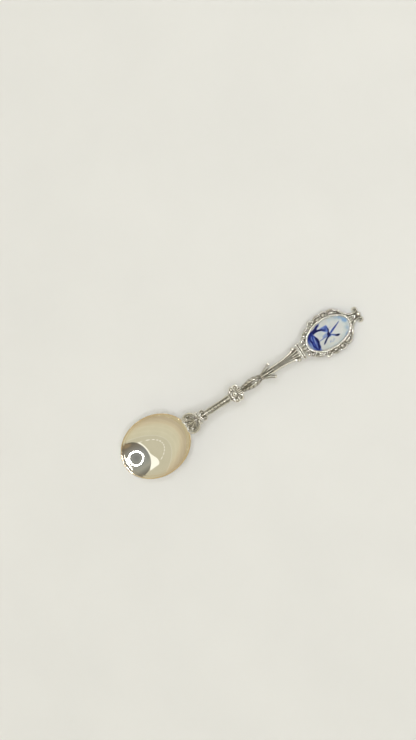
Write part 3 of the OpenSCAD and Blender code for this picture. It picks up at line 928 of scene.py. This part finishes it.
def stroke(x, y, rows, tone):
    """Ink of one brush stroke along rows of x, y and its half-width there."""
    soft = 0.18
    line = spline(rows, 6)
    ink = np.zeros(len(x))
    for (x0, y0, w0), (x1, y1, w1) in zip(line[:-1], line[1:]):
        dx, dy = x1 - x0, y1 - y0
        t = unit(((x - x0) * dx + (y - y0) * dy) / max(dx * dx + dy * dy, 1e-9))
        gap = np.hypot(x - x0 - t * dx, y - y0 - t * dy)
        ink = np.maximum(ink, unit((w0 + (w1 - w0) * t - gap) / soft + 0.5))
    return tone * ink


def patch(x, y, cx, cy, rx, ry, tone, tilt=0.0):
    """A soft round wash."""
    c, s = cos_sin(tilt)
    u = ((x - cx) * c + (y - cy) * s) / rx
    v = (-(x - cx) * s + (y - cy) * c) / ry
    return tone * np.exp(-1.3 * (u * u + v * v) ** 1.5)


def inside(x, y, corners, soft):
    """1 inside a convex outline given anticlockwise, fading over soft millimetres."""
    depth = np.full(len(x), 9.0)
    for (x0, y0), (x1, y1) in zip(corners, corners[1:] + corners[:1]):
        length = math.hypot(x1 - x0, y1 - y0)
        depth = np.minimum(depth, ((x1 - x0) * (y - y0) - (y1 - y0) * (x - x0)) / length)
    return unit(depth / soft + 0.5)


def bristles(x, y, angle, fine=5.0):
    """Streaks that a stiff brush leaves, between 0 and 1."""
    c, s = cos_sin(angle)
    u, v = x * c + y * s, -x * s + y * c
    return 0.5 + 0.25 * np.sin(fine * v + 1.3 * np.sin(0.9 * u)) + 0.25 * np.sin(2.3 * fine * v + 0.8 * u)


def strokes(x, y, table, ragged=0.0):
    """Ink of several strokes, each given as rows and tone, with ragged edges."""
    wave = (np.sin(9.1 * y + 2.0 * x) + 0.7 * np.sin(17.3 * x - 5.3 * y)
            + 0.5 * np.sin(31.0 * y + 11.0 * x))
    other = (np.sin(8.3 * x - 3.1 * y) + 0.7 * np.sin(19.7 * y + 4.1 * x)
             + 0.5 * np.sin(29.0 * x - 13.0 * y))
    x, y = x + ragged * wave, y + ragged * other
    ink = np.zeros(len(x))
    for rows, tone in table:
        ink = np.maximum(ink, stroke(x, y, rows, tone))
    return ink


def paint_sky(x, y):
    """Pale washes that follow the far edge of the plaque."""
    ink = np.zeros(len(x))
    for wash in ((8.1, 1.2, 1.3, 1.6, 0.66, 10), (7.1, 2.8, 1.9, 1.0, 0.50, -42),
                 (5.6, 3.7, 1.5, 0.8, 0.38, -30), (3.0, 4.2, 1.3, 1.2, 0.22, 0),
                 (4.8, 4.2, 0.8, 0.8, 0.24, 0), (8.0, -0.8, 1.1, 1.5, 0.25, 0),
                 (7.4, -2.1, 1.1, 1.6, 0.40, 30), (6.0, -3.9, 2.3, 0.8, 0.44, 30),
                 (3.3, -4.9, 2.2, 0.8, 0.28, 12), (0.3, -5.1, 1.8, 0.6, 0.22, 0),
                 (-2.6, -4.5, 1.6, 0.7, 0.20, -22), (-2.9, 1.4, 1.6, 1.2, 0.22, -30),
                 (7.9, 0.2, 0.5, 1.2, 0.2, 0), (2.6, 2.6, 0.9, 0.9, 0.1, 0)):
        ink = np.maximum(ink, 1.1 * patch(x, y, *wash))
    edge = np.hypot(x / (PLAQUE_L / 2), y / (PLAQUE_W / 2))
    band = 0.2 * unit((edge - 0.6) / 0.3) * unit((x - 0.5) / 3.5)
    return np.maximum(ink, band) * (0.68 + 0.36 * bristles(x, y, 62, 5.0))


def paint_bank(x, y):
    """Bushes along the foot of the scene: ragged upright strokes over a lighter ground."""
    shore = -4.75 - 0.9 * unit((np.abs(y + 0.2) - 1.2) / 3) + 0.12 * np.sin(4.1 * y)
    ground = unit((shore - x) / 0.35 + 0.5) * np.clip((x + 9.4) / 1.6, 0.25, 1)
    ink = ground * (0.26 + 0.46 * bristles(x, y, 84, 3.1) * (0.6 + 0.5 * bristles(x, y, 30, 2.3)))
    bushes = strokes(x, y, (
        ([(-7.1, 3.0, 0.4), (-7.4, 1.6, 0.32), (-7.2, 0.2, 0.42)], 0.84),
        ([(-7.2, 0.0, 0.3), (-7.5, -1.0, 0.26), (-7.0, -2.2, 0.36), (-6.9, -3.0, 0.2)], 0.84),
        ([(-6.9, 2.4, 0.34), (-6.5, 3.2, 0.4), (-5.5, 3.6, 0.4)], 0.78),
        ([(-5.6, 2.6, 0.26), (-5.3, 1.9, 0.34), (-5.2, 1.2, 0.3)], 0.66),
        ([(-5.1, 1.2, 0.36), (-5.0, 0.2, 0.56), (-5.1, -1.0, 0.46)], 0.98),
        ([(-5.5, -1.4, 0.4), (-5.7, -2.3, 0.52), (-6.1, -3.1, 0.38)], 0.98),
        ([(-6.2, -3.1, 0.4), (-6.6, -3.8, 0.3), (-7.0, -3.6, 0.2)], 0.72),
        ([(-6.3, -0.2, 0.14), (-6.5, -1.6, 0.22), (-6.8, -2.9, 0.16)], 0.62),
        ([(-6.2, 2.0, 0.12), (-6.3, 0.9, 0.2), (-6.2, 0.2, 0.1)], 0.6),
        ([(-8.4, 1.8, 0.16), (-8.3, 0.4, 0.26), (-8.2, -0.6, 0.12)], 0.55),
        ([(-5.7, 4.0, 0.3), (-4.6, 3.7, 0.58), (-3.5, 4.0, 0.6)], 0.95),
        ([(-3.6, 4.0, 0.55), (-2.6, 4.6, 0.48), (-1.6, 4.9, 0.3)], 0.86),
        ([(-5.2, 3.0, 0.3), (-4.3, 3.2, 0.42), (-3.3, 3.5, 0.35)], 0.92),
        ([(-2.4, 4.9, 0.26), (-1.9, 4.6, 0.3), (-1.3, 5.1, 0.2)], 0.5)), 0.045)
    return np.maximum(ink, bushes * (0.72 + 0.36 * bristles(x, y, 66, 6.5)))


def paint_mill(x, y):
    """A tower mill seen from the side of its sails."""
    cap = inside(x, y, [(-1.5, 1.9), (-0.5, 0.9), (0.5, 0.4), (1.1, 1.6), (1.0, 3.2), (-2.2, 3.3)], 0.5)
    ink = cap * (0.37 + 0.14 * bristles(x, y, 40, 4.0))
    ink = np.maximum(ink, inside(x, y, [(-2.9, -0.7), (-0.4, -0.7), (-0.5, 0.7), (-2.4, 0.3)], 0.7) * 0.29)
    return np.maximum(ink, strokes(x, y, (
        ([(-4.2, 3.2, 0.3), (-2.9, 3.1, 0.38), (-1.6, 2.6, 0.34), (-0.7, 2.0, 0.24),
          (0.1, 1.6, 0.12)], 0.88),
        ([(-2.2, 3.35, 0.09), (-0.6, 3.35, 0.09), (0.9, 3.15, 0.14)], 0.36),
        ([(0.0, -0.2, 0.5), (0.45, 0.6, 0.28), (0.85, 1.4, 0.26), (0.6, 2.5, 0.1)], 0.92),
        ([(0.95, 3.2, 0.1), (1.0, 2.4, 0.14), (1.0, 1.8, 0.1)], 0.4),
        ([(-4.6, -0.75, 0.13), (-2.6, -0.72, 0.15), (-0.6, -0.62, 0.18)], 0.5),
        ([(1.2, 1.75, 0.06), (1.9, 1.6, 0.1), (2.6, 1.65, 0.05)], 0.22))))


def paint_sails(x, y):
    return np.maximum(patch(x, y, 0.05, -0.45, 0.86, 0.95, 1.0, 20), strokes(x, y, (
        ([(1.15, -0.2, 0.34), (2.3, 0.3, 0.4), (3.8, 0.85, 0.3)], 0.55),
        ([(3.4, 0.75, 0.26), (4.6, 1.15, 0.2), (5.8, 1.7, 0.16)], 0.66),
        ([(1.6, 0.25, 0.06), (3.2, 0.85, 0.09), (4.6, 1.3, 0.07)], 0.85),
        ([(0.7, -0.95, 0.2), (1.5, -1.7, 0.28), (2.3, -2.25, 0.3)], 0.36),
        ([(0.8, -0.8, 0.08), (1.7, -1.5, 0.1), (2.4, -2.0, 0.12)], 0.85),
        ([(2.2, -2.25, 0.34), (2.8, -2.5, 0.44), (3.4, -2.6, 0.28)], 1.0),
        ([(-0.4, -1.0, 0.34), (-1.5, -1.45, 0.28), (-2.4, -2.05, 0.3), (-3.4, -2.7, 0.24)], 0.93))))


def paint_birds(x, y):
    """A few faint dabs beside the mill."""
    dabs = ((-0.9, -3.2, 0.55, 0.3, 0.24, 50), (-0.2, -3.6, 0.5, 0.25, 0.17, -30),
            (0.5, -3.3, 0.5, 0.28, 0.2, 40), (0.9, -2.9, 0.4, 0.25, 0.14, -40),
            (-0.3, -2.9, 0.4, 0.25, 0.12, 0))
    return np.max([patch(x, y, *dab) for dab in dabs], axis=0)


def make_plaque(material):
    """The domed cabochon, with its painting stored as ink per point."""
    rings_n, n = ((140, 480))
    top = PLAQUE_SEAT + PLAQUE_EDGE
    rings = []
    for k in np.maximum(np.linspace(0, 1, rings_n) ** 0.75, 0.002):
        rings.append(oval(PLAQUE_L, PLAQUE_W, k, top + PLAQUE_DOME * max(1 - k * k, 0) ** 0.65, n))
    rings.append(oval(PLAQUE_L, PLAQUE_W, 1, PLAQUE_SEAT, n))
    rings.append(oval(PLAQUE_L, PLAQUE_W, 0.01, PLAQUE_SEAT, n))
    verts = np.concatenate(rings)
    x, y = verts[:, 0] - PLAQUE_X, verts[:, 1]
    ink = np.max([layer(x, y) for layer in (paint_bank, paint_mill, paint_sails, paint_birds)], 0)
    sky = paint_sky(x, y)
    ink[len(verts) - 2 * n:] = 0
    sky[len(verts) - 2 * n:] = 0
    faces = [list(reversed(f)) for f in grid_faces(len(rings), n)]
    make_piece("plaque_glazed", verts, faces, on_finial, material,
               {"ink": ink, "sky": sky}, "porcelain_plaque")


# ---- Stage, light and camera

def make_floor():
    """A pale matt floor, 6 m square, just under the spoon."""
    mesh = bpy.data.meshes.new("studio_floor")
    half = 3.0
    clearance = 0.00002
    mesh.from_pydata([(-half, -half, 0), (half, -half, 0), (half, half, 0), (-half, half, 0)],
                     [], [(0, 1, 2, 3)])
    mesh.materials.append(pale_floor())
    floor = bpy.data.objects.new("studio_floor", mesh)
    bpy.context.scene.collection.objects.link(floor)
    floor.location.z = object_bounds()[0].z - clearance


class Studio(Nodes):
    """The room's colours by direction, painted one layer over another.

    Directions are laid out flat: u and v are a direction's x and y, each divided by 1 + z, so straight
    up is at 0, 0.
    """

    def __init__(self):
        self.world = bpy.data.worlds.new("studio")
        self.world.use_nodes = True
        super().__init__(self.world.node_tree)
        direction = self.add("ShaderNodeTexCoord").outputs["Generated"]
        x, y, self.z = self.add("ShaderNodeSeparateXYZ", {0: direction}).outputs
        below = self.maths("ADD", self.z, 1.0001)
        self.u = self.maths("DIVIDE", x, below)
        self.v = self.maths("DIVIDE", y, below)
        self.colour = None

    def distance(self, cu, cv, ru, rv):
        """Distance from a centre, in units of an oval's half-sizes."""
        du = self.maths("DIVIDE", self.maths("SUBTRACT", self.u, cu), ru)
        dv = self.maths("DIVIDE", self.maths("SUBTRACT", self.v, cv), rv)
        squares = self.maths("ADD", self.maths("MULTIPLY", du, du), self.maths("MULTIPLY", dv, dv))
        return self.maths("SQRT", squares)

    def step(self, value, low, high):
        """0 up to low, 1 from high on, and smooth between them; high may be the lower one."""
        inputs = {"Value": value, "From Min": low, "From Max": high}
        return self.add("ShaderNodeMapRange", inputs, interpolation_type="SMOOTHSTEP").outputs["Result"]

    def band(self, value, start, full, fade, end):
        """0 up to start, 1 from full to fade, and 0 again from end on."""
        return self.both(self.step(value, start, full), self.step(value, end, fade))

    def both(self, a, b):
        return self.maths("MULTIPLY", a, b)

    def paint(self, mask, colour):
        """Lays colour over the room where mask is 1."""
        self.colour = self.mix(mask, self.colour, colour)


def cream_walls(room):
    height = room.step(room.z, 0.0, 0.8)
    room.colour = room.ramp(height, [(0.0, (0.50, 0.425, 0.30)), (0.3, (0.64, 0.56, 0.395)),
                                     (0.5, (0.66, 0.615, 0.45)), (1.0, (0.65, 0.62, 0.465))])


def hood(room):
    """A slightly darker hood with a thin light edge, and faint waves on the wall outside it."""
    reach = room.distance(0.25, 0.25, 0.635, 0.805)
    room.paint(room.both(room.step(reach, 1.0, 0.98), 0.55), (0.56, 0.53, 0.41))
    waves = room.step(room.maths("SINE", room.maths("MULTIPLY", reach, 34.0)), 0.2, 1.0)
    room.paint(room.both(room.step(reach, 1.0, 1.1), room.both(waves, 0.07)), (0.92, 0.86, 0.66))
    room.paint(room.both(room.band(reach, 0.955, 0.975, 0.99, 1.0), 0.3), (0.85, 0.83, 0.70))


def row_of_lights(room):
    """A curved row of small lights on the hood."""
    curve = room.band(room.distance(0.19, 0.08, 0.44, 0.44), 0.955, 0.975, 0.99, 1.01)
    lights = room.step(room.maths("SINE", room.maths("MULTIPLY", room.v, 92.0)), -0.3, 0.2)
    room.paint(room.both(room.both(curve, lights), room.step(room.u, 0.03, 0.0)), (1.05, 1.03, 0.95))


def light_wedge(room):
    """A bright wedge along the panel's near edge."""
    slanted = room.maths("MULTIPLY_ADD", room.step(room.v, 0.05, 0.42), -0.105, 0.012)
    past = room.step(room.maths("SUBTRACT", room.u, slanted), 0.0, 0.01)
    wedge = room.both(room.both(past, room.step(room.u, 0.06, 0.05)),
                      room.band(room.v, -0.36, -0.3, 0.44, 0.47))
    room.paint(wedge, (1.12, 1.11, 1.0))


def overhead_panel(room):
    """A wide dark panel with round corners and a thin, very bright oval lamp let into it."""
    du = room.maths("ABSOLUTE", room.maths("DIVIDE", room.maths("SUBTRACT", room.u, 0.245), 0.21))
    dv = room.maths("ABSOLUTE", room.maths("DIVIDE", room.v, 0.475))
    corners = room.maths("ADD", room.maths("POWER", du, 5.0), room.maths("POWER", dv, 5.0))
    shade = room.ramp(room.step(room.v, -0.5, 0.5), [
        (0.0, (0.13, 0.12, 0.10)), (0.1, (0.22, 0.20, 0.165)), (0.35, (0.25, 0.255, 0.25)),
        (0.7, (0.29, 0.30, 0.28)), (0.9, (0.38, 0.38, 0.33)), (1.0, (0.19, 0.18, 0.15))])
    smudge = room.step(room.distance(0.15, -0.41, 0.07, 0.07), 1.2, 0.4)
    shade = room.mix(room.both(smudge, 0.7), shade, (0.36, 0.27, 0.16))
    lamp = room.distance(0.184, -0.01, 0.077, 0.185)
    shade = room.mix(room.both(room.step(lamp, 1.9, 1.0), 0.4), shade, (0.36, 0.365, 0.35))
    shade = room.mix(room.step(lamp, 0.9, 0.0), shade, (0.23, 0.235, 0.23))
    room.paint(room.step(corners, 1.04, 0.94), shade)
    room.paint(room.band(lamp, 0.92, 0.95, 0.99, 1.02), (58.0, 58.0, 57.0))


def make_world():
    """A cream studio, with the lights and the dark panel that the polished bowl mirrors."""
    room = Studio()
    for layer in (cream_walls, hood, row_of_lights, light_wedge, overhead_panel):
        layer(room)
    background = room.tree.nodes["Background"]
    room.tree.links.new(room.colour, background.inputs["Color"])
    background.inputs["Strength"].default_value = 1.0
    bpy.context.scene.world = room.world


def add_soft_light():
    """A soft lamp high on the finial's side; it lights the floor and the glaze, not the mirrors."""
    light = bpy.data.lights.new("soft_light", "AREA")
    light.shape = "DISK"
    light.size = 0.16
    light.energy = 0.2
    lamp = bpy.data.objects.new("soft_light", light)
    bpy.context.scene.collection.objects.link(lamp)
    lamp.location = (0.19, 0.0, 0.48)
    lamp.rotation_euler = lamp.location.to_track_quat("Z", "Y").to_euler()
    lamp.visible_glossy = False


def add_camera():
    """Looks down on the spoon from the finial's side, as a hand-held camera over a table does."""
    tilt, heading, roll = (math.radians(a) for a in (20.7443, -7.0712, -26.4235))
    data = bpy.data.cameras.new("camera")
    data.lens = 46.6
    data.clip_start = 0.01
    camera = bpy.data.objects.new("camera", data)
    bpy.context.scene.collection.objects.link(camera)
    turned = (Matrix.Rotation(heading, 4, "Z") @ Matrix.Rotation(tilt, 4, "Y")
              @ Matrix.Rotation(roll, 4, "Z"))
    camera.matrix_world = Matrix.Translation((0.1333, -0.0027, 0.3718)) @ turned
    bpy.context.scene.camera = camera


# ---- Build

add_camera()
silver = antique_silver()
polish = polished_silver()
make_bowl(polish)
make_bowl_tongue(polish)
# Each casting's node and shape, and how dark its ridges and its grooves are painted, by tarnish and
# painted shade
for name, shape, ridge, groove in (
        ("heel_rosette", heel_rosette(), 0.10, 0.68), ("collar_scrolls", collar_scrolls(), 0.02, 0.85),
        ("beaded_bar", beaded_bar(), 0.28, 1.0), ("bead_wire", bead_wire(), -0.05, 0.55),
        ("scroll_knot", scroll_knot(), -0.08, 0.78), ("leaf_sprouts", leaf_sprouts(), 0.0, 0.95),
        ("fluted_shaft", fluted_shaft(), 0.02, 0.95), ("capital", capital(), -0.05, 0.9),
        ("crossbar", crossbar(), -0.05, 0.9)):
    make_casting(name, shape, FINER, on_stem, silver, ridge, groove)
make_baluster(silver)
make_casting("finial_frame", finial_frame(), FINE, on_finial, silver, -0.06, 0.98)
make_casting("crown", crown(), FINE, on_finial, silver, -0.1, 0.82)
make_collet(silver)
make_back_plate(brushed_silver())
make_plaque(painted_porcelain())
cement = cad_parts["cement_bed"]
cement.data.materials.clear()
cement.data.materials.append(set_cement())

make_floor()
make_world()
add_soft_light()

bpy.context.scene.view_settings.view_transform = "Standard"
